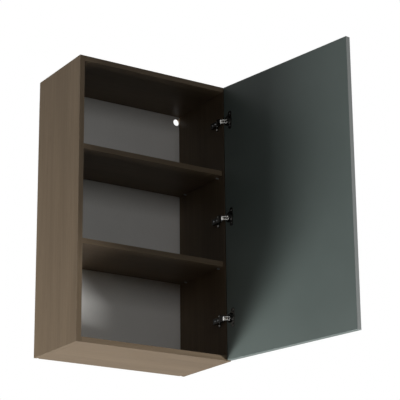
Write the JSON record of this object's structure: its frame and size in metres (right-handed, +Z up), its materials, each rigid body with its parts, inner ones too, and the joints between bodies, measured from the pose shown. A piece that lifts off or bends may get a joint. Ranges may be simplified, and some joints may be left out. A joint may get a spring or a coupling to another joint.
{
  "type": "hanging wall cabinet",
  "caption": "Tall hanging wall cabinet with loose shelves, a thin back with hanging holes and a slab door on concealed cup hinges, stored with the door open.",
  "frame": {"origin": "on the wall plane, midway between the centres of the two hanging holes", "axes": "+X to the right seen from the front, +Y into the wall, +Z up"},
  "size_m": [0.694, 0.8945, 1],
  "materials": {
    "wood_decor": "satin dark brown wood-grain laminate",
    "door_finish": "satin grey-green laminate",
    "back_board": "light grey lacquered fibreboard",
    "nickel_plated_steel": "satin nickel plate",
    "zinc_plated_steel": "bright zinc plate",
    "cast_zinc": "dull die-cast zinc"
  },
  "bodies": {
    "cabinet": {"side_panel_left": "wood_decor", "side_panel_right": "wood_decor", "top_panel": "wood_decor", "bottom_panel": "wood_decor", "back_panel": "back_board", "hanging_plate_left": "zinc_plated_steel", "hanging_plate_right": "zinc_plated_steel", "cam_lock_top_left_front": "cast_zinc", "cam_lock_top_left_rear": "cast_zinc", "cam_lock_top_right_front": "cast_zinc", "cam_lock_top_right_rear": "cast_zinc", "cam_lock_bottom_left_front": "cast_zinc", "cam_lock_bottom_left_rear": "cast_zinc", "cam_lock_bottom_right_front": "cast_zinc", "cam_lock_bottom_right_rear": "cast_zinc", "shelf_pin_upper_left_front": "zinc_plated_steel", "shelf_pin_upper_left_rear": "zinc_plated_steel", "shelf_pin_upper_right_front": "zinc_plated_steel", "shelf_pin_upper_right_rear": "zinc_plated_steel", "shelf_pin_lower_left_front": "zinc_plated_steel", "shelf_pin_lower_left_rear": "zinc_plated_steel", "shelf_pin_lower_right_front": "zinc_plated_steel", "shelf_pin_lower_right_rear": "zinc_plated_steel", "hinge_arm_top": "nickel_plated_steel", "mounting_plate_top": "nickel_plated_steel", "plate_screw_top_lower": "nickel_plated_steel", "plate_screw_top_upper": "nickel_plated_steel", "arm_pin_top_front": "zinc_plated_steel", "arm_pin_top_rear": "zinc_plated_steel", "hinge_arm_middle": "nickel_plated_steel", "mounting_plate_middle": "nickel_plated_steel", "plate_screw_middle_lower": "nickel_plated_steel", "plate_screw_middle_upper": "nickel_plated_steel", "arm_pin_middle_front": "zinc_plated_steel", "arm_pin_middle_rear": "zinc_plated_steel", "hinge_arm_bottom": "nickel_plated_steel", "mounting_plate_bottom": "nickel_plated_steel", "plate_screw_bottom_lower": "nickel_plated_steel", "plate_screw_bottom_upper": "nickel_plated_steel", "arm_pin_bottom_front": "zinc_plated_steel", "arm_pin_bottom_rear": "zinc_plated_steel"},
    "door": {"door": "door_finish", "hinge_cup_top": "nickel_plated_steel", "hinge_cup_middle": "nickel_plated_steel", "hinge_cup_bottom": "nickel_plated_steel", "cup_screw_top_lower": "nickel_plated_steel", "cup_screw_top_upper": "nickel_plated_steel", "cup_screw_middle_lower": "nickel_plated_steel", "cup_screw_middle_upper": "nickel_plated_steel", "cup_screw_bottom_lower": "nickel_plated_steel", "cup_screw_bottom_upper": "nickel_plated_steel"},
    "inner_links": {"inner_link_top": "nickel_plated_steel", "inner_link_middle": "nickel_plated_steel", "inner_link_bottom": "nickel_plated_steel"},
    "outer_links": {"outer_link_top": "nickel_plated_steel", "outer_link_middle": "nickel_plated_steel", "outer_link_bottom": "nickel_plated_steel"},
    "shelf_upper": {"shelf_upper": "wood_decor"},
    "shelf_lower": {"shelf_lower": "wood_decor"}
  },
  "joints": [
    {"name": "door_hinge", "type": "hinge", "parent": "cabinet", "child": "door", "pos_m": [0.29128, -0.31132, -0.46], "axis": [0, 0, 1], "range_deg": [-99.1, 10.9]},
    {"name": "inner_link_turn", "type": "hinge", "parent": "cabinet", "child": "inner_links", "pos_m": [0.2697, -0.3009, -0.46], "axis": [0, 0, 1], "range_deg": [-3.2, 28.3]},
    {"name": "outer_link_turn", "type": "hinge", "parent": "cabinet", "child": "outer_links", "pos_m": [0.2669, -0.2938, -0.46], "axis": [0, 0, 1], "range_deg": [-0.6, 4.7]},
    {"name": "shelf_upper_lift", "type": "slide", "parent": "cabinet", "child": "shelf_upper", "axis": [0, 0, 1], "range_m": [0, 0.06]},
    {"name": "shelf_lower_lift", "type": "slide", "parent": "cabinet", "child": "shelf_lower", "axis": [0, 0, 1], "range_m": [0, 0.06]}
  ],
  "couplings": [
    {"joint": "inner_link_turn", "follows": "door_hinge", "ratio": -0.285},
    {"joint": "outer_link_turn", "follows": "door_hinge", "ratio": -0.046}
  ]
}
